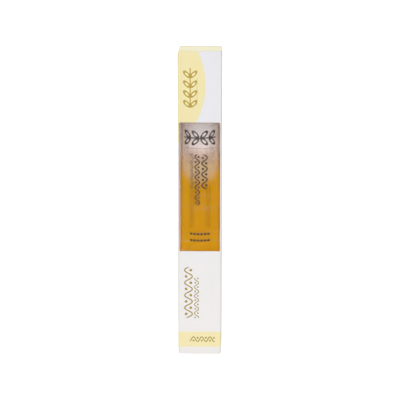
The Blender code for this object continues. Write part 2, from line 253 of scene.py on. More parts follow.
def make_grain_group():
    """Fine speckle and a broad cloud, from the piece's own place, for a moulded or rolled surface."""
    sizes = {"Fine Scale": 3000.0, "Cloud Scale": 90.0, "Stretch": (1, 1, 1)}
    tree, inside, given, out = start_group("grain", sizes, ("Fine", "Cloud"))
    place = inside.node("ShaderNodeTexCoord").outputs["Object"]
    stretched = inside.node(
        "ShaderNodeVectorMath", {"operation": "MULTIPLY"}, _0=place, _1=given["Stretch"]
    ).outputs[0]
    for name in ("Fine", "Cloud"):
        noise = inside.node("ShaderNodeTexNoise", Vector=stretched, Scale=given[name + " Scale"])
        inside.feed(out, name, noise.outputs[0])
    return tree


GRAIN = make_grain_group()
GRAIN_RANGE = (0.3, 0.7)  # nearly all of the grain's values lie in it

glass = turn(
    "bottle_glass",
    rounded(
        [
            (0, GLASS_FLOOR, 0),
            (GLASS_BORE, GLASS_FLOOR, HEEL_ROUND),
            (GLASS_BORE, GLASS_SHOULDER - GLASS_WALL, SHOULDER_ROUND - GLASS_WALL),
            (NECK_BORE, GLASS_NECK_FOOT - GLASS_WALL, NECK_ROUND),
            (NECK_BORE, GLASS_LIP, LIP_ROUND),
            (NECK_RADIUS, GLASS_LIP, LIP_ROUND),
            (NECK_RADIUS, GLASS_NECK_FOOT, NECK_ROUND),
            (GLASS_RADIUS, GLASS_SHOULDER, SHOULDER_ROUND),
            (GLASS_RADIUS, GLASS_BASE, HEEL_ROUND),
            (PUNT_RADIUS, GLASS_BASE, 0),
            (PUNT_RADIUS - PUNT_RISE, GLASS_BASE + PUNT_RISE, 0),
            (0, GLASS_BASE + PUNT_RISE, 0),
        ]
    ),
)
clear_glass = Finish(
    "clear_glass",
    "F7F5F2",
    Roughness=0.02,
    Transmission_Weight=1.0,
    IOR=1.5,
    Specular_Tint=[MIRROR_SHARE] * 3 + [1],
)
waves = clear_glass.group(GRAIN, Cloud_Scale=60.0, Stretch=(1, 1, 0.3)).outputs["Cloud"]
clear_glass.bump(waves, distance=0.02 * MM)
turned_away = clear_glass.node("ShaderNodeLayerWeight", Blend=0.5).outputs["Facing"]
rays = clear_glass.node("ShaderNodeLightPath").outputs
lamp_light = clear_glass.largest(rays["Is Shadow Ray"], rays["Is Diffuse Ray"])
# Painted shade: the clear glass is tinted brown where it is seen edge on, darkening the bottle's sides
clear_glass.give(
    Base_Color=clear_glass.mix(clear_glass.ramp(turned_away, RIM_SHADE_START, 1.0), GLASS_FACE, GLASS_RIM_SHADE),
    Alpha=clear_glass.ramp(lamp_light, 0.0, 1.0, 1.0, SHADOW_SHARE),
)
clear_glass.put_on(glass)
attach(glass, "bottle")
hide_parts("glass_bottle")

# Print on the glass
# One dark ink, screen printed round the glass: a laurel spray, a thread and three running vines, and two
# rows of beads near the window's foot. Two more vines in thinner ink look like print on the bottle's
# back, seen through the oil.
INK_GAP = 0.02 * MM
INK_LOW = 57 * MM
INK_HIGH = 119 * MM
INK_SWEEP = math.radians(130)
INK_STEPS = 40
INK_EDGE = 0.04 * MM
INK_GRAIN = (0.3, 0.6)
INK_THINNEST = 0.86
# Shares of an ornament's half width
VINE_SWING = 0.8
BUD_PLACE = 0.5
BUD_RADIUS = 0.16
LEAF_PLACE = 0.55
LEAF_HALF_BREADTH = 0.27
# A leaf is a ring, squeezed this much along and across its slant
LEAF_SHORTENING = 1.15
LEAF_NARROWING = 2.6
STROKE_SIZES = {
    "Across": 0.0,
    "Along": 0.0,
    "Half Width": 2 * MM,
    "Pitch": 6 * MM,
    "Stroke": 0.4 * MM,
    "Low": 0.0,
    "High": 20 * MM,
}
# Ornaments: middle, half width, pitch, stroke, low and high in mm, and a share of ink where it isn't 1
INK_VINES = (
    (2.4, 1.7, 5.6, 0.6, 86.2, 104),
    (-1.3, 1.4, 5.2, 0.56, 77.9, 104),
    (-4.1, 0.9, 4.2, 0.28, 86.2, 104),
    (-4.1, 1.3, 4.0, 0.2, 66, 86, 0.55),
    (4.4, 1.5, 4.4, 0.2, 66, 88, 0.55),
)
INK_SPRAY = (112.3, 3.2, 4.4, 0.55, 0, 9)
INK_THREAD = (107, 0.25, 1.3, 0.12, 0, 8.4, 0.4)
INK_BEADS = ((63, 0.55, 1.8, 0.1, -5.4, 5.4), (59.6, 0.55, 1.8, 0.1, -5.4, 5.4))


def finish_strokes(inside, given, out, distances):
    """Turns distances from drawn lines into a mask of strokes between the group's Low and High."""
    half_stroke = inside.times(given["Stroke"], 0.5)
    outside = inside.maths("ADD", half_stroke, INK_EDGE)
    strokes = [inside.ramp(distance, half_stroke, outside, 1.0, 0.0) for distance in distances]
    above = inside.maths("GREATER_THAN", given["Along"], given["Low"])
    below = inside.maths("LESS_THAN", given["Along"], given["High"])
    inside.feed(out, "Mask", inside.times(inside.largest(*strokes), above, below))


def from_repeat(inside, along, pitch):
    """Distance, forwards or backwards, from the middle of the repeat that a place is in."""
    share = inside.maths("FRACT", inside.maths("DIVIDE", along, pitch))
    return inside.times(inside.maths("SUBTRACT", share, 0.5), pitch)


def make_vine_group():
    """A waving stem with a round bud in each bend."""
    tree, inside, given, out = start_group("running_vine", STROKE_SIZES, ("Mask",))
    half, pitch = given["Half Width"], given["Pitch"]
    phase = inside.times(inside.maths("DIVIDE", given["Along"], pitch), math.tau)
    wave = inside.maths("SINE", phase)
    swing = inside.times(half, VINE_SWING)
    steepest = inside.times(inside.maths("DIVIDE", swing, pitch), math.tau)
    slope = inside.times(inside.maths("COSINE", phase), steepest)
    off_stem = inside.maths("SUBTRACT", given["Across"], inside.times(wave, swing))
    stem = inside.maths("DIVIDE", inside.maths("ABSOLUTE", off_stem), inside.length(slope, 1.0))

    side = inside.times(inside.maths("SIGN", wave), half)
    bud_across = inside.maths("MULTIPLY_ADD", side, BUD_PLACE, given["Across"])
    bud_along = from_repeat(inside, given["Along"], inside.times(pitch, 0.5))
    off_bud = inside.length(bud_across, bud_along)
    bud = inside.maths("SUBTRACT", off_bud, inside.times(half, BUD_RADIUS))
    finish_strokes(inside, given, out, (stem, bud))
    return tree


def make_laurel_group():
    """A straight stem with pairs of slanting leaves in outline."""
    tree, inside, given, out = start_group("laurel_spray", STROKE_SIZES, ("Mask",))
    half = given["Half Width"]
    stem = inside.maths("ABSOLUTE", given["Across"])
    outwards = inside.maths("SUBTRACT", stem, inside.times(half, LEAF_PLACE))
    forwards = from_repeat(inside, given["Along"], given["Pitch"])
    lengthwise = inside.maths("DIVIDE", inside.maths("ADD", forwards, outwards), half)
    crosswise = inside.maths("DIVIDE", inside.maths("SUBTRACT", forwards, outwards), half)
    ring = inside.length(
        inside.times(lengthwise, LEAF_SHORTENING),
        inside.times(crosswise, LEAF_NARROWING),
    )
    off_ring = inside.maths("ABSOLUTE", inside.maths("SUBTRACT", ring, 1.0))
    leaf = inside.times(off_ring, half, LEAF_HALF_BREADTH)
    finish_strokes(inside, given, out, (stem, leaf))
    return tree


def make_bead_group():
    """A row of round beads, each with the group's Half Width for its radius."""
    tree, inside, given, out = start_group("bead_row", STROKE_SIZES, ("Mask",))
    bead_along = from_repeat(inside, given["Along"], given["Pitch"])
    off_bead = inside.length(bead_along, given["Across"])
    bead = inside.maths("SUBTRACT", off_bead, given["Half Width"])
    finish_strokes(inside, given, out, (bead,))
    return tree


VINE = make_vine_group()
LAUREL = make_laurel_group()
BEADS = make_bead_group()


def drawn(finish, tree, across, along, middle, half_width, pitch, stroke, low, high, share=1.0):
    """Mask of one ornament, with its sizes in mm: it is centred on a line and runs along it."""
    ornament = finish.group(
        tree,
        Across=finish.maths("SUBTRACT", across, middle * MM),
        Along=along,
        Half_Width=half_width * MM,
        Pitch=pitch * MM,
        Stroke=stroke * MM,
        Low=low * MM,
        High=high * MM,
    )
    return finish.times(ornament.outputs["Mask"], share)


ink_radius = GLASS_RADIUS + INK_GAP
first_angle = -math.pi / 2 - INK_SWEEP / 2
ink_x = ink_radius * math.cos(first_angle)
ink_y = bottle_y + ink_radius * math.sin(first_angle)
ink_side = [Vector((ink_x, ink_y, level)) for level in (INK_LOW, INK_HIGH)]
ink_print = draw_outline("ink_print", ink_side, False)
bpy.ops.mesh.spin(steps=INK_STEPS, angle=-INK_SWEEP, center=(0, bottle_y, 0), axis=(0, 0, 1))
close_up()
ink = Finish("dark_ink", "2A1D17", Roughness=0.45)
x, y, z = ink.split_place()
angle_round = ink.maths("ARCTAN2", x, ink.maths("SUBTRACT", bottle_y, y))
round_glass = ink.times(angle_round, GLASS_RADIUS)
from_middle = ink.maths("ABSOLUTE", round_glass)
ink_marks = [drawn(ink, VINE, round_glass, z, *sizes) for sizes in INK_VINES]
ink_marks += [drawn(ink, BEADS, z, round_glass, *sizes) for sizes in INK_BEADS]
ink_marks.append(drawn(ink, LAUREL, z, from_middle, *INK_SPRAY))
ink_marks.append(drawn(ink, VINE, z, from_middle, *INK_THREAD))
screen = ink.group(GRAIN, Fine_Scale=6000.0, Cloud_Scale=400.0).outputs
coverage = ink.ramp(screen["Fine"], *INK_GRAIN, INK_THINNEST, 1.0)
ink.give(
    Base_Color=ink.mix(screen["Cloud"], "241812", "33251D"),
    Alpha=ink.times(ink.largest(*ink_marks), coverage),
)
ink.put_on(ink_print)
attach(ink_print, "bottle")

# Oil
# Amber oil up to three quarters of the bottle. It wets the glass, so it mirrors nothing of its own. A
# coat that thins out upwards clings to the wall above its level, as after the bottle has been tipped.
OIL_OVERLAP = 0.04 * MM
OIL_LEVEL = 94.96 * MM
OIL_COAT = 0.12 * MM
OIL_COAT_TOP = 121 * MM
OIL_CREEP = 1.2 * MM
OIL_CLIMB = 10 * MM
OIL_STREAK = 3 * MM
# Heights at which each of these starts and is complete
COAT_PALES = (88 * MM, 98 * MM)
COAT_THINS = (91 * MM, 107 * MM)
COAT_DRAINS = (97 * MM, 106 * MM)
SHADE_BAND_HEIGHTS = (116.5 * MM, 120.5 * MM)
FOOT_HEIGHTS = (55 * MM, 64 * MM)
# How far the wall has turned away, of 1, when each of these starts and is complete
RESIDUE_TURN = (0.2, 0.9)
TINT_TURN = (0.3, 0.9)
OIL_LIT_TURN = (0.1, 0.7)
COAT_LIT_TURN = (0.3, 0.7)
DEEP_AMBER = "D89600"
LIT_EDGE_AMBER = "FFEA00"
COAT_FOOT = "E4CCAA"
COAT_FACE = "F2EAE8"
COAT_SIDE = "E8C4A4"
SHOULDER_SHADE = "A88A7A"
OIL_LIGHT = "E0C400"
COAT_LIGHT = "FFE2D3"
RESIDUE_SHARE = 0.6  # how much the coat hides where it is seen along the wall
SHADE_BAND_SHARE = 0.55  # how much the painted shade under the shoulder hides
# Painted light: a glow in the oil's sides, in its foot and in the coat, in place of light scattered in
# them
EDGE_LIT = 0.38
FOOT_LIT = 0.08
COAT_LIT = 0.22
oil_radius = GLASS_BORE + OIL_OVERLAP
oil = turn(
    "amber_oil",
    rounded(
        [
            (0, GLASS_FLOOR - OIL_OVERLAP, 0),
            (oil_radius, GLASS_FLOOR - OIL_OVERLAP, HEEL_ROUND + OIL_OVERLAP),
            (oil_radius, OIL_COAT_TOP, 0),
            (GLASS_BORE - OIL_COAT, OIL_COAT_TOP, 0),
            (GLASS_BORE - OIL_COAT, OIL_LEVEL, OIL_CREEP),
            (0, OIL_LEVEL, 0),
        ]
    ),
)
amber_oil = Finish(
    "amber_oil", "E2A203", Roughness=0.0, IOR=1.46, Specular_IOR_Level=0.0, Emission_Strength=1.0
)
height = amber_oil.split_place()["Z"]
streaks = amber_oil.group(GRAIN, Cloud_Scale=500.0, Stretch=(1, 1, 0.15)).outputs["Cloud"]
along_wall = amber_oil.node("ShaderNodeLayerWeight", Blend=0.5).outputs["Facing"]
climb = amber_oil.maths("MULTIPLY_ADD", along_wall, -OIL_CLIMB, height)
ragged = amber_oil.maths("MULTIPLY_ADD", streaks, OIL_STREAK, climb)
in_coat = amber_oil.ramp(ragged, *COAT_PALES, smooth=True)
in_oil = amber_oil.ramp(in_coat, 0.0, 1.0, 1.0, 0.0)

thinning = amber_oil.ramp(ragged, *COAT_THINS, 1.0, 0.0, smooth=True)
residue = amber_oil.ramp(along_wall, *RESIDUE_TURN, 0.0, RESIDUE_SHARE)
# Painted shade: a darker, warmer band on the coat under the shoulder, where the front panel's top edge
# shades the bottle
ring = amber_oil.ramp(height, *SHADE_BAND_HEIGHTS, 0.0, SHADE_BAND_SHARE)
# Where the oil is seen along the wall it is paler and yellower: partly the thinner oil there, partly
# painted light that evens out its shading
deep = amber_oil.mix(along_wall, DEEP_AMBER, LIT_EDGE_AMBER)
clinging = amber_oil.mix(amber_oil.ramp(along_wall, *TINT_TURN), COAT_FACE, COAT_SIDE)
shaded_coat = amber_oil.mix(ring, clinging, SHOULDER_SHADE)
drained = amber_oil.ramp(ragged, *COAT_DRAINS, smooth=True)
coat = amber_oil.mix(drained, COAT_FOOT, shaded_coat)

# Painted light: the oil glows at its sides and its foot, and the coat at its sides
at_sides = amber_oil.ramp(along_wall, *OIL_LIT_TURN, 0.0, EDGE_LIT)
at_foot = amber_oil.ramp(height, *FOOT_HEIGHTS, FOOT_LIT, 0.0)
oil_lit = amber_oil.times(amber_oil.maths("ADD", at_sides, at_foot), in_oil)
coat_lit = amber_oil.times(amber_oil.ramp(along_wall, *COAT_LIT_TURN, 0.0, COAT_LIT), in_coat)
amber_oil.give(
    Base_Color=amber_oil.mix(in_coat, deep, coat),
    Alpha=amber_oil.largest(thinning, residue, ring),
    Emission_Color=amber_oil.mix(coat_lit, amber_oil.mix(oil_lit, "000000", OIL_LIGHT), COAT_LIGHT),
)
amber_oil.put_on(oil)
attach(oil, "bottle")
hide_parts("oil_fill")

# Roller housing and ball
# A natural polyethylene plug pressed into the neck, whose springy rim traps a polished steel ball.
# The ball picks up oil through the feed hole below it and rolls it on.
PLUG_RADIUS = 5.2 * MM
PLUG_LENGTH = 10 * MM
PLUG_WALL = 1.0 * MM
FLANGE_FOOT = 134.3 * MM
FLANGE_TOP = 135.3 * MM
FLANGE_RADIUS = 7.0 * MM
HEAD_RADIUS = 6.138 * MM
CUP_RADIUS = 4.938 * MM
CUP_RIM = math.radians(28)
FEED_RADIUS = 1.5 * MM
WELL_TOP = 130.3 * MM
PLASTIC_ROUND = 0.3 * MM
CUP_STEPS = 24
plug_foot = GLASS_LIP - PLUG_LENGTH
ball_low, ball_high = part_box("roller_ball")
ball_z = (ball_low.z + ball_high.z) / 2
ball_radius = (ball_high.z - ball_low.z) / 2
rim_top = ball_z + CUP_RADIUS * math.sin(CUP_RIM)


def arc(radius, first, last, steps):
    """Arc round the ball's centre between two angles above its equator, as (radius, height) points."""
    angles = [first + (last - first) * step / steps for step in range(steps + 1)]
    return [Vector((radius * math.cos(a), ball_z + radius * math.sin(a))) for a in angles]


housing = turn(
    "roller_plug",
    rounded(
        [
            (FEED_RADIUS, WELL_TOP, 0),
            (PLUG_RADIUS - PLUG_WALL, WELL_TOP, PLASTIC_ROUND),
            (PLUG_RADIUS - PLUG_WALL, plug_foot, 0),
            (PLUG_RADIUS, plug_foot, PLASTIC_ROUND),
            (PLUG_RADIUS, FLANGE_FOOT, 0),
            (FLANGE_RADIUS, FLANGE_FOOT, 0),
            (FLANGE_RADIUS, FLANGE_TOP, PLASTIC_ROUND),
            (HEAD_RADIUS, FLANGE_TOP, 0),
            (HEAD_RADIUS, rim_top, PLASTIC_ROUND),
        ]
    )
    + arc(CUP_RADIUS, CUP_RIM, -math.acos(FEED_RADIUS / CUP_RADIUS), CUP_STEPS),
    closed=True,
)


def moulded(name, colour, dark, shiniest, dullest):
    """Moulded plastic: a colour that drifts a little, and a fine spark-eroded grain."""
    plastic = Finish(name, colour, Subsurface_Weight=0.1, Subsurface_Scale=1 * MM)
    grain = plastic.group(GRAIN, Fine_Scale=2500.0, Cloud_Scale=150.0).outputs
    plastic.give(
        Base_Color=plastic.mix(grain["Cloud"], dark, colour),
        Roughness=plastic.ramp(grain["Fine"], *GRAIN_RANGE, shiniest, dullest),
    )
    plastic.bump(grain["Fine"], distance=0.02 * MM, strength=0.4)
    return plastic


moulded("natural_polyethylene", "ECEAE3", "DEDBD0", shiniest=0.35, dullest=0.47).put_on(housing)
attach(housing, "bottle")
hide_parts("roller_housing")

ball = turn("steel_ball", arc(ball_radius, -math.pi / 2, math.pi / 2, 2 * CUP_STEPS))
steel = Finish("polished_steel", "D4D6D8", Metallic=1.0)
lap = steel.group(GRAIN, Fine_Scale=1800.0, Cloud_Scale=300.0).outputs
steel.give(
    Base_Color=steel.mix(lap["Cloud"], "CBCED1", "DCDEDF"),
    Roughness=steel.ramp(lap["Fine"], *GRAIN_RANGE, 0.05, 0.13),
)
steel.bump(lap["Fine"], distance=0.002 * MM, strength=0.3)
steel.put_on(ball)
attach(ball, "ball")
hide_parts("roller_ball")

# Cap
# A white polypropylene screw liner inside a drawn shell of satin gold aluminium. A ring under the
# liner's plate seals on the roller's rim, and the shell's open edge stands just clear of the shoulder.
SHELL_RADIUS = 9.3 * MM
SHELL_BORE = 8.9 * MM
SHELL_FOOT = 124.9 * MM
SHELL_CROWN = 152.9 * MM
SHELL_TOP = 0.5 * MM
SHELL_ROUND = 1.0 * MM
LINER_RADIUS = 8.6 * MM
LINER_BORE = 7.8 * MM
LINER_FOOT = 125.3 * MM
LINER_TOP = 152.1 * MM
PLATE_FOOT = 141.18 * MM
PLATE_TOP = 142.18 * MM
SEAL_BORE = 4.36 * MM
SEAL_RADIUS = 5.46 * MM
SEAL_FOOT = 138.86 * MM
liner = turn(
    "screw_liner",
    rounded(
        [
            (0, PLATE_TOP, 0),
            (LINER_BORE, PLATE_TOP, PLASTIC_ROUND),
            (LINER_BORE, LINER_TOP, 0),
            (LINER_RADIUS, LINER_TOP, PLASTIC_ROUND),
            (LINER_RADIUS, LINER_FOOT, 0),
            (LINER_BORE, LINER_FOOT, PLASTIC_ROUND),
            (LINER_BORE, PLATE_FOOT, 0),
            (SEAL_RADIUS, PLATE_FOOT, 0),
            (SEAL_RADIUS, SEAL_FOOT, 0),
            (SEAL_BORE, SEAL_FOOT, 0),
            (SEAL_BORE, PLATE_FOOT, 0),
            (0, PLATE_FOOT, 0),
        ]
    ),
)
moulded("white_polypropylene", "F1F0ED", "E6E4DF", shiniest=0.4, dullest=0.52).put_on(liner)
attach(liner, "cap")
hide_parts("cap_liner")

shell = turn(
    "gold_shell",
    rounded(
        [
            (0, SHELL_CROWN, 0),
            (SHELL_RADIUS, SHELL_CROWN, SHELL_ROUND),
            (SHELL_RADIUS, SHELL_FOOT, 0),
            (SHELL_BORE, SHELL_FOOT, 0),
            (SHELL_BORE, SHELL_CROWN - SHELL_TOP, SHELL_ROUND - SHELL_RADIUS + SHELL_BORE),
            (0, SHELL_CROWN - SHELL_TOP, 0),
        ]
    ),
)
gold = Finish("satin_gold", "CBA85C", Metallic=1.0)
turned_marks = gold.group(GRAIN, Fine_Scale=900.0, Cloud_Scale=120.0, Stretch=(0.15, 0.15, 4)).outputs
gold.give(
    Base_Color=gold.mix(turned_marks["Cloud"], "C09C4E", "D3B268"),
    Roughness=gold.ramp(turned_marks["Fine"], *GRAIN_RANGE, 0.24, 0.38),
)
gold.bump(turned_marks["Fine"], distance=0.005 * MM, strength=0.5)
gold.put_on(shell)
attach(shell, "cap")
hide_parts("cap_shell")

# Carton sleeve
# Four panels of 0.4 mm board, printed outside and satin varnished, folded on creased edges round the
# bottle. The window is die cut in the front. A tapered flap inside glues the left panel to the back.
BOARD = 0.4 * MM
SIDE_FACE = 11.0 * MM
FRONT_FACE = 11.25 * MM
CARTON_HEIGHT = 156 * MM
FOLD_ROUND = 0.45 * MM
FOLD_STEPS = 5
SIDE_STOP = 154.9 * MM
BACK_STOP = 155.6 * MM
WINDOW_LOW = 54.5 * MM
WINDOW_HIGH = 120.5 * MM
WINDOW_HALF = 10.25 * MM
WINDOW_TOP_ROUND = 0.9 * MM
WINDOW_FOOT_ROUND = 0.4 * MM
DIE_REACH = 2 * MM
LEANS = 0.1  # a face leans a way once its normal has more than this of it


def select(piece, kind, chosen):
    """Selects the vertices, edges or faces that are chosen by place, and faces by normal too."""
    modes = {"vertices": "VERT", "edges": "EDGE", "polygons": "FACE"}
    bpy.ops.mesh.select_mode(type=modes[kind])
    bpy.ops.mesh.select_all(action="DESELECT")
    bpy.ops.object.mode_set(mode="OBJECT")
    for item in getattr(piece.data, kind):
        if kind == "vertices":
            item.select = chosen(item.co)
        elif kind == "edges":
            item.select = chosen(*(piece.data.vertices[v].co for v in item.vertices))
        else:
            item.select = chosen(item.center, item.normal)
    bpy.ops.object.mode_set(mode="EDIT")


def apply_modifier(piece, kind, **settings):
    modifier = piece.modifiers.new(kind.lower(), kind)
    for setting, value in settings.items():
        setattr(modifier, setting, value)
    bpy.ops.object.select_all(action="DESELECT")
    piece.select_set(True)
    bpy.context.view_layer.objects.active = piece
    bpy.ops.object.modifier_apply(modifier=modifier.name)


bpy.ops.mesh.primitive_cube_add(
    size=1,
    location=(0, 0, CARTON_HEIGHT / 2),
    scale=(2 * SIDE_FACE, 2 * FRONT_FACE, CARTON_HEIGHT),
)
sleeve = bpy.context.object
sleeve.name = sleeve.data.name = "carton_sleeve"
bpy.ops.object.transform_apply(location=True, rotation=True, scale=True)
bpy.ops.object.mode_set(mode="EDIT")
select(sleeve, "polygons", lambda centre, normal: abs(normal.z) > LEANS)
bpy.ops.mesh.delete(type="ONLY_FACE")
select(sleeve, "edges", lambda a, b: abs(a.z - b.z) > MM)
bpy.ops.mesh.bevel(offset=FOLD_ROUND, segments=FOLD_STEPS, affect="EDGES")
for level in (SIDE_STOP, CARTON_HEIGHT - SIDE_STOP, BACK_STOP, CARTON_HEIGHT - BACK_STOP):
    bpy.ops.mesh.select_all(action="SELECT")
    bpy.ops.mesh.bisect(plane_co=(0, 0, level), plane_no=(0, 0, 1))


def is_cut_away(centre, normal):
    """Past the side panels' ends only the front and back go on, and the back stops at its crease."""
    reach = abs(centre.z - CARTON_HEIGHT / 2) + CARTON_HEIGHT / 2
    past_side = reach > SIDE_STOP and abs(normal.x) > LEANS
    return past_side or (reach > BACK_STOP and normal.y > 0)


select(sleeve, "polygons", is_cut_away)
bpy.ops.mesh.delete(type="FACE")
bpy.ops.object.mode_set(mode="OBJECT")

CREAM = "FCF3C4"
FIELD = "F7EAB0"
COOL_WHITE = "EEEDF2"
WARM_WHITE = "F9F6F5"
BAND = "FFF2BA"
CREASE_SHADE = "C2BDB0"
CREASE_SHADE_SHARE = 0.5
WHITE_TINT_AND_SHADE_HEIGHTS = (20 * MM, 150 * MM)
FIELD_CENTRE = (-34.8 * MM, 139.25 * MM)  # across the panels laid flat, and up
FIELD_RADIUS = 37.7 * MM
BAND_LOW = 4.0 * MM
BAND_HIGH = 12.0 * MM
PRINT_EDGE = 0.05 * MM
# Painted shade on a crease: it starts and is full this far from the panel's edge
SIDE_SHADE = (1.7 * FOLD_ROUND, FOLD_ROUND / 3)
LID_SHADE = (6 * MM, 2 * MM)
FOIL = "A58C32"
FOIL_SHINE = 0.35
FOIL_POLISH = 0.1
FOIL_SPRIG = (-4.7, 3.0, 4.9, 0.52, 128, 147.6)
FOIL_VINES = (
    (-1.3, 0.25, 1.3, 0.1, 129, 143, 0.5),
    (-5.7, 2.4, 6.6, 0.55, 19.3, 46.2),
    (-1.6, 1.3, 4.6, 0.38, 19.3, 40.5),
)
FOIL_ROW = (8.0, 1.5, 4.2, 0.44, -4.9, 7.6)


def print_board(finish):
    """The printed design: a round yellow field on the front and left panels, and a band at the foot,
    with painted shade on the creases and the white painted lighter low down.
    """
    x, y, z = finish.split_place()
    unrolled = finish.maths("SUBTRACT", x, finish.maths("ADD", y, FRONT_FACE))
    across = finish.maths("SUBTRACT", unrolled, FIELD_CENTRE[0])
    up = finish.maths("SUBTRACT", z, FIELD_CENTRE[1])
    in_round = finish.ramp(
        finish.length(across, up), FIELD_RADIUS - PRINT_EDGE, FIELD_RADIUS + PRINT_EDGE, 1.0, 0.0
    )
    on_front = finish.ramp(y, -FRONT_FACE + FOLD_ROUND / 2, -FRONT_FACE + FOLD_ROUND, 1.0, 0.0)
    on_left = finish.ramp(x, -SIDE_FACE + FOLD_ROUND / 2, -SIDE_FACE + FOLD_ROUND, 1.0, 0.0)
    above_low = finish.ramp(z, BAND_LOW - PRINT_EDGE, BAND_LOW + PRINT_EDGE)
    below_high = finish.ramp(z, BAND_HIGH - PRINT_EDGE, BAND_HIGH + PRINT_EDGE, 1.0, 0.0)
    on_lid = finish.ramp(z, BACK_STOP, BACK_STOP + BOARD / 2)
    behind_front = finish.ramp(y, -FRONT_FACE + BOARD, -FRONT_FACE + 2 * BOARD)
    # The white is printed warmer low and cooler high, and is also painted lighter low down and darker
    # high up, as light falls on the front
    colour = finish.mix(finish.ramp(z, *WHITE_TINT_AND_SHADE_HEIGHTS), WARM_WHITE, COOL_WHITE)
    colour = finish.mix(finish.times(in_round, finish.largest(on_front, on_left)), colour, FIELD)
    colour = finish.mix(finish.times(above_low, below_high), colour, BAND)
    colour = finish.mix(finish.times(on_lid, behind_front), colour, CREAM)

    # Painted shade along the lid's back crease and along the front's side folds
    near_back = finish.ramp(y, *(FRONT_FACE - inwards for inwards in LID_SHADE))
    at_side = finish.ramp(finish.maths("ABSOLUTE", x), *(SIDE_FACE - inwards for inwards in SIDE_SHADE))
    at_front = finish.ramp(y, -FRONT_FACE + FOLD_ROUND, -FRONT_FACE + 2 * FOLD_ROUND, 1.0, 0.0)
    shaded_creases = finish.largest(finish.times(on_lid, near_back), finish.times(at_side, at_front))
    return finish.mix(finish.times(shaded_creases, CREASE_SHADE_SHARE), colour, CREASE_SHADE)


def foil_marks(finish):
    """Gold foil: a laurel sprig and a thread in the field, two vines below, and a row in the band."""
    x, y, z = finish.split_place()
    marks = [drawn(finish, VINE, x, z, *sizes) for sizes in FOIL_VINES]
    marks.append(drawn(finish, LAUREL, x, z, *FOIL_SPRIG))
    marks.append(drawn(finish, VINE, z, x, *FOIL_ROW))
    return finish.times(finish.largest(*marks), finish.maths("LESS_THAN", y, FOLD_ROUND - FRONT_FACE))


board_print = Finish(
    "printed_board", "EBEBE9", Coat_Weight=0.05, Coat_Roughness=0.3, Specular_IOR_Level=0.3
)
fibres = board_print.group(GRAIN, Fine_Scale=2500.0, Cloud_Scale=200.0).outputs
mottle = board_print.ramp(fibres["Cloud"], *GRAIN_RANGE, 0.0, 0.06)
matt = board_print.ramp(fibres["Fine"], *GRAIN_RANGE, 0.42, 0.56)
foil = foil_marks(board_print)
board_print.give(
    Base_Color=board_print.mix(foil, board_print.mix(mottle, print_board(board_print), "FFFFFF"), FOIL),
    Metallic=board_print.times(foil, FOIL_SHINE),
    Roughness=board_print.maths("MULTIPLY_ADD", foil, -FOIL_POLISH, matt),
)
board_print.bump(fibres["Fine"], distance=0.01 * MM, strength=0.35)

# The bare inside. Painted light: the back panel glows a little, fading towards the top, in place of
# light coming through the thin board
BACK_LIGHT = "CADCFF"
BACK_LIT = (0.12, 0.04)
BACK_LIT_HEIGHTS = (108 * MM, 122 * MM)
board_back = Finish("board_inside", "F5F4F1", Roughness=0.8, Emission_Strength=1.0)
pulp = board_back.group(GRAIN, Fine_Scale=1800.0, Stretch=(1, 1, 0.5)).outputs["Fine"]
y, z = board_back.split_place()[1:]
on_back = board_back.ramp(y, FRONT_FACE - 3 * BOARD, FRONT_FACE - 2 * BOARD)
# Painted light: glow on the back panel's inside, weaker higher up
painted_glow = board_back.times(on_back, board_back.ramp(z, *BACK_LIT_HEIGHTS, *BACK_LIT))
board_back.give(
    Base_Color=board_back.mix(board_back.ramp(pulp, *GRAIN_RANGE), "F1EFEB", "F9F8F6"),
    Emission_Color=board_back.mix(painted_glow, "000000", BACK_LIGHT),
)
board_back.bump(pulp, distance=0.02 * MM, strength=0.5)


def put_board_on(piece):
    """Printed side first, bare fibre second."""
    board_print.put_on(piece)
    piece.data.materials.append(board_back.material)


put_board_on(sleeve)
apply_modifier(
    sleeve,
    "SOLIDIFY",
    thickness=BOARD,
    offset=-1,
    use_even_offset=True,
    material_offset=1,
    material_offset_rim=1,
)

window_outline = rounded(
    [
        (-WINDOW_HALF, WINDOW_LOW, WINDOW_FOOT_ROUND),
        (WINDOW_HALF, WINDOW_LOW, WINDOW_FOOT_ROUND),
        (WINDOW_HALF, WINDOW_HIGH, WINDOW_TOP_ROUND),
        (-WINDOW_HALF, WINDOW_HIGH, WINDOW_TOP_ROUND),
    ]
)
die_points = [Vector((x, -FRONT_FACE - DIE_REACH, z)) for x, z in window_outline]
die = draw_outline("window_die", die_points, True)
bpy.ops.mesh.edge_face_add()
bpy.ops.mesh.extrude_region_move(TRANSFORM_OT_translate={"value": (0, 2 * DIE_REACH, 0)})
close_up()
die.data.materials.append(board_back.material)
apply_modifier(sleeve, "BOOLEAN", object=die, operation="DIFFERENCE", solver="EXACT")
bpy.data.objects.remove(die)
bpy.ops.object.shade_smooth_by_angle(angle=SMOOTH_ANGLE)
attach(sleeve, "carton")
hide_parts("carton_front", "carton_back", "carton_left", "carton_right")

FLAP_HALF_HEIGHT = 73 * MM
FLAP_ROOT = FRONT_FACE - BOARD
FLAP_TIP = 4.05 * MM
FLAP_TAPER = 2 * MM
flap_outline = [
    (FLAP_ROOT, -FLAP_HALF_HEIGHT),
    (FLAP_TIP, FLAP_TAPER - FLAP_HALF_HEIGHT),
    (FLAP_TIP, FLAP_HALF_HEIGHT - FLAP_TAPER),
    (FLAP_ROOT, FLAP_HALF_HEIGHT),
]
flap_points = [Vector((BOARD - SIDE_FACE, y, CARTON_HEIGHT / 2 + z)) for y, z in flap_outline]
glue_flap = draw_outline("glue_flap", flap_points, True)
bpy.ops.mesh.edge_face_add()
bpy.ops.mesh.extrude_region_move(TRANSFORM_OT_translate={"value": (BOARD, 0, 0)})
close_up()
board_back.put_on(glue_flap)
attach(glue_flap, "carton")
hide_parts("carton_glue_flap")
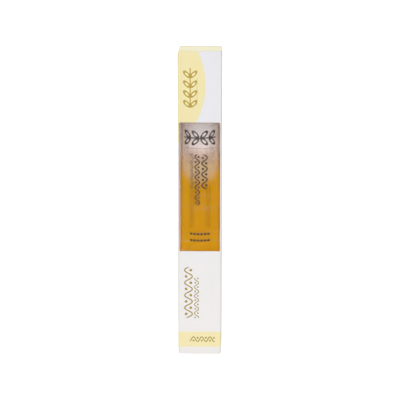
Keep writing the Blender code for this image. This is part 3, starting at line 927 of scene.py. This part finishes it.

# Window film
# Clear cellulose film, glued behind the window and folded back on to both side panels. A faint white
# veil on it, strongest where it is seen along its surface, is painted reflection of the room. Handling
# has left faint scuffs on it.
FILM_IOR = 1.45
FILM_GLEAM = (0.08, 0.16)
SCUFF_RANGE = (0.6, 0.75)
SCUFF_DEPTH = 0.07
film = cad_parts["window_film"]
clear_film = Finish("clear_film", "FFFFFF", Roughness=0.06, IOR=FILM_IOR)
mirrored_light = clear_film.node("ShaderNodeFresnel", IOR=FILM_IOR).outputs[0]
cockle = clear_film.group(GRAIN, Cloud_Scale=60.0).outputs["Cloud"]
rubbed = clear_film.group(GRAIN, Fine_Scale=1000.0, Stretch=(0.08, 1, 2.5)).outputs["Fine"]
# Painted reflection: a white veil in patches, strongest where the film is seen along its surface
gleam = clear_film.times(clear_film.ramp(cockle, *GRAIN_RANGE, *FILM_GLEAM), mirrored_light)
scuffs = clear_film.ramp(rubbed, *SCUFF_RANGE, 0.0, SCUFF_DEPTH)
clear_film.give(Alpha=clear_film.maths("ADD", gleam, scuffs))
clear_film.bump(cockle, distance=0.05 * MM, strength=0.3)
clear_film.put_on(film)

# Tuck ends
# At each end a lid hinges on the back panel, its tongue tucks in behind the front, and two tapered dust
# flaps fold in under it from the sides. Each is one board, whose printed side goes round its crease.
CREASE_STEPS = 8
LID_HALF = 10.8 * MM
TONGUE_HALF = 10.2 * MM
TONGUE_FACE = 10.25 * MM
TONGUE_TIP = 147.6 * MM
TONGUE_ROUND = 2.5 * MM
DUST_TOP = 155.3 * MM
DUST_FRONT = -9.45 * MM
DUST_BACK = 10.55 * MM
DUST_TIP = 2.0 * MM
DUST_ROUND = 1.5 * MM
DUST_FRONT_TAPER = math.radians(15)
DUST_BACK_TAPER = math.radians(38)
LEVEL = 0.9  # a face is level once its normal has more than this of up


def crease(corner, first, reach):
    """Quarter turn of board round its inner corner, as (outer points, inner points).

    The outer skin is an arc. The inner one is a sharp corner with points beside it.
    """
    last = first + reach
    before, after = (Vector((math.cos(a), math.sin(a))).orthogonal() for a in (first, last))
    outer, inner = [], []
    for step in range(CREASE_STEPS + 1):
        angle = first + reach * step / CREASE_STEPS
        outer.append(corner + BOARD * Vector((math.cos(angle), math.sin(angle))))
        along = math.copysign(BOARD, reach) * (1 - 2 * step / CREASE_STEPS)
        inner.append(corner - along * (before if 2 * step < CREASE_STEPS else after))
    return outer, inner


def board_from(name, outer, inner, axis, low, high):
    """Board drawn out along an axis. Its section runs out on the printed skin and back on the bare."""
    place, step = {
        "X": (lambda a, b: Vector((low, a, b)), (high - low, 0, 0)),
        "Y": (lambda a, b: Vector((a, low, b)), (0, high - low, 0)),
    }[axis]
    piece = draw_outline(name, [place(*point) for point in outer + inner[::-1]], True)
    bpy.ops.mesh.edge_face_add()
    bpy.ops.mesh.extrude_region_move(TRANSFORM_OT_translate={"value": step})
    close_up()
    put_board_on(piece)
    return piece


def bare_inside(piece, is_printed):
    """Gives the bare-fibre material to all but the printed outer faces."""
    for face in piece.data.polygons:
        face.material_index = 0 if is_printed(face.center, face.normal) else 1


def crease_blend(piece):
    """Bakes the piece's transform into its mesh."""
    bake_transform(piece)


lid_corner = Vector((FRONT_FACE - BOARD, CARTON_HEIGHT - BOARD))
tongue_corner = Vector((BOARD - TONGUE_FACE, CARTON_HEIGHT - BOARD))
dust_corner = Vector((BOARD - SIDE_FACE, DUST_TOP - BOARD))

outer, inner = crease(lid_corner, 0, math.pi / 2)
lid = board_from(
    "top_lid_board",
    outer + [tongue_corner + Vector((0, BOARD))],
    inner + [tongue_corner],
    "X",
    -LID_HALF,
    LID_HALF,
)
outer, inner = crease(tongue_corner, math.pi / 2, math.pi / 2)
tongue = board_from(
    "top_tongue_board",
    outer + [Vector((-TONGUE_FACE, TONGUE_TIP))],
    inner + [Vector((BOARD - TONGUE_FACE, TONGUE_TIP))],
    "X",
    -TONGUE_HALF,
    TONGUE_HALF,
)
bpy.ops.object.mode_set(mode="EDIT")
select(tongue, "edges", lambda a, b: max(a.z, b.z) < TONGUE_TIP + MERGE and abs(a.x - b.x) < MERGE)
bpy.ops.mesh.bevel(offset=TONGUE_ROUND, segments=ARC_STEPS, affect="EDGES")
close_up()
outer, inner = crease(dust_corner, math.pi, -math.pi / 2)
dust_left = board_from(
    "top_dust_board_left",
    outer + [Vector((-DUST_TIP, DUST_TOP))],
    inner + [Vector((-DUST_TIP, DUST_TOP - BOARD))],
    "Y",
    DUST_FRONT,
    DUST_BACK,
)
bpy.ops.object.mode_set(mode="EDIT")
dust_reach = SIDE_FACE - DUST_TIP
for edge_y, taper in ((DUST_FRONT, DUST_FRONT_TAPER), (DUST_BACK, -DUST_BACK_TAPER)):
    select(dust_left, "vertices", lambda at: at.x > -DUST_TIP - MERGE and abs(at.y - edge_y) < MERGE)
    bpy.ops.transform.translate(value=(0, math.tan(taper) * dust_reach, 0))
select(
    dust_left,
    "edges",
    lambda a, b: min(a.x, b.x) > -DUST_TIP - MERGE and abs(a.z - b.z) > BOARD / 2,
)
bpy.ops.mesh.bevel(offset=DUST_ROUND, segments=ARC_STEPS, affect="EDGES")
close_up()

bare_inside(lid, lambda centre, normal: max(normal.y, normal.z) > LEANS)
bare_inside(tongue, lambda centre, normal: max(-normal.y, normal.z) > LEANS)
bare_inside(
    dust_left,
    lambda centre, normal: normal.z > LEVEL or (-normal.x > LEANS and centre.x < BOARD - SIDE_FACE),
)


def mirrored(piece, name, scale, centre):
    """Copy with a mesh of its own, turned over across a plane."""
    copy = piece.copy()
    copy.data = piece.data.copy()
    copy.name = copy.data.name = name
    bpy.context.collection.objects.link(copy)
    bpy.ops.object.select_all(action="DESELECT")
    copy.select_set(True)
    bpy.context.view_layer.objects.active = copy
    bpy.ops.object.mode_set(mode="EDIT")
    bpy.ops.mesh.select_all(action="SELECT")
    bpy.ops.transform.resize(value=scale, center_override=centre)
    bpy.ops.mesh.normals_make_consistent(inside=False)
    bpy.ops.object.mode_set(mode="OBJECT")
    return copy


across = (-1, 1, 1)
upside_down = (1, 1, -1)
carton_middle = (0, 0, CARTON_HEIGHT / 2)
dust_right = mirrored(dust_left, "top_dust_board_right", across, carton_middle)
ends = {"top": (lid, tongue, dust_left, dust_right)}
ends["bottom"] = tuple(
    mirrored(piece, piece.name.replace("top", "bottom"), upside_down, carton_middle)
    for piece in ends["top"]
)
for end, (lid, tongue, left, right) in ends.items():
    crease_blend(lid)
    crease_blend(tongue)
    for side, flap, name in ((-1, left, "left"), (1, right, "right")):
        crease_blend(flap)
        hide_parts(f"{end}_dust_flap_{name}")
    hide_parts(f"{end}_lid")
    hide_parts(f"{end}_tongue")

# Studio
# A pale floor that runs on past the picture, and soft lamps in front, above, at both sides and behind.
# The room is plain and bright. It is white to the camera, in reflections and through the glass.
FLOOR_SIZE = 40.0
FLOOR_DROP = 0.02 * MM
FLOOR_WHITENING = 0.75
ROOM_LIGHT = 0.4
# Place, width, height and power of each lamp, in metres and watts, and the height that it faces
LAMPS = {
    "front_soft": ((0, -1.6, 0.3), 0.8, 0.8, 11.6, 0.06),
    "top_soft": ((0, 0.35, 1.45), 1.0, 0.8, 3.0, 0.1),
    "right_soft": ((1.4, 0.25, 0.6), 1.0, 1.0, 1.7, 0.08),
    "left_soft": ((-1.4, 0.25, 0.6), 1.0, 1.0, 2.2, 0.08),
    "back_soft": ((0, 1.5, 0.95), 0.8, 0.8, 4.0, 0.08),
}
world = bpy.data.worlds.new("studio")
bpy.context.scene.world = world
world.use_nodes = True
room = Nodes(world.node_tree)
room_rays = room.node("ShaderNodeLightPath").outputs
seen = room.largest(*(room_rays[f"Is {ray} Ray"] for ray in ("Camera", "Glossy", "Transmission")))
room.feed(room.nodes["Background"], "Strength", room.ramp(seen, 0.0, 1.0, ROOM_LIGHT, 1.0))
room.feed(room.nodes["Background"], "Color", linear("FFFFFF"))

bpy.ops.mesh.primitive_plane_add(size=FLOOR_SIZE, location=(0, 0, -FLOOR_DROP))
floor = bpy.context.object
floor.name = "studio_floor"
pale_floor = Finish("pale_floor", "F6F6F6", Roughness=0.9, Emission_Color=linear("FFFFFF"))
paint = pale_floor.group(GRAIN, Cloud_Scale=8.0).outputs["Cloud"]
camera_ray = pale_floor.node("ShaderNodeLightPath").outputs["Is Camera Ray"]
pale_floor.give(
    Base_Color=pale_floor.mix(paint, "F4F4F4", "F8F8F8"),
    Emission_Strength=pale_floor.times(camera_ray, FLOOR_WHITENING),
)
pale_floor.put_on(floor)

for name, (place, wide, high, power, faced) in LAMPS.items():
    lamp_data = bpy.data.lights.new(name, "AREA")
    lamp_data.shape = "RECTANGLE"
    lamp_data.size, lamp_data.size_y = wide, high
    lamp_data.energy = power
    lamp = bpy.data.objects.new(name, lamp_data)
    bpy.context.scene.collection.objects.link(lamp)
    lamp.location = place
    aim = Vector((0, 0, faced)) - lamp.location
    lamp.rotation_euler = aim.to_track_quat("-Z", "Y").to_euler()

# Camera
# A long lens at about the height of a hand held above the table, looking down a little on the carton's
# front. Light may pass the film, the glass, the print and the coat of oil many times on its way to it.
CAMERA_AIM = Vector((-0.14 * MM, 0, 78.5 * MM))
CAMERA_DISTANCE = 804 * MM
CAMERA_AZIMUTH = math.radians(1.5)
CAMERA_PITCH = math.radians(12.93)
CAMERA_LENS = 142.2
CAMERA_SENSOR = 36
LIGHT_BOUNCES = 40
camera_data = bpy.data.cameras.new("camera")
camera_data.lens = CAMERA_LENS
camera_data.sensor_width = CAMERA_SENSOR
camera = bpy.data.objects.new("camera", camera_data)
bpy.context.scene.collection.objects.link(camera)
backwards = Vector(
    (
        math.sin(CAMERA_AZIMUTH) * math.cos(CAMERA_PITCH),
        -math.cos(CAMERA_AZIMUTH) * math.cos(CAMERA_PITCH),
        math.sin(CAMERA_PITCH),
    )
)
camera.location = CAMERA_AIM + backwards * CAMERA_DISTANCE
camera.rotation_euler = (-backwards).to_track_quat("-Z", "Y").to_euler()
bpy.context.scene.camera = camera
bpy.context.scene.view_settings.view_transform = "Standard"
cycles = bpy.context.scene.cycles
cycles.max_bounces = cycles.transmission_bounces = cycles.transparent_max_bounces = LIGHT_BOUNCES
cycles.diffuse_bounces = cycles.glossy_bounces = LIGHT_BOUNCES
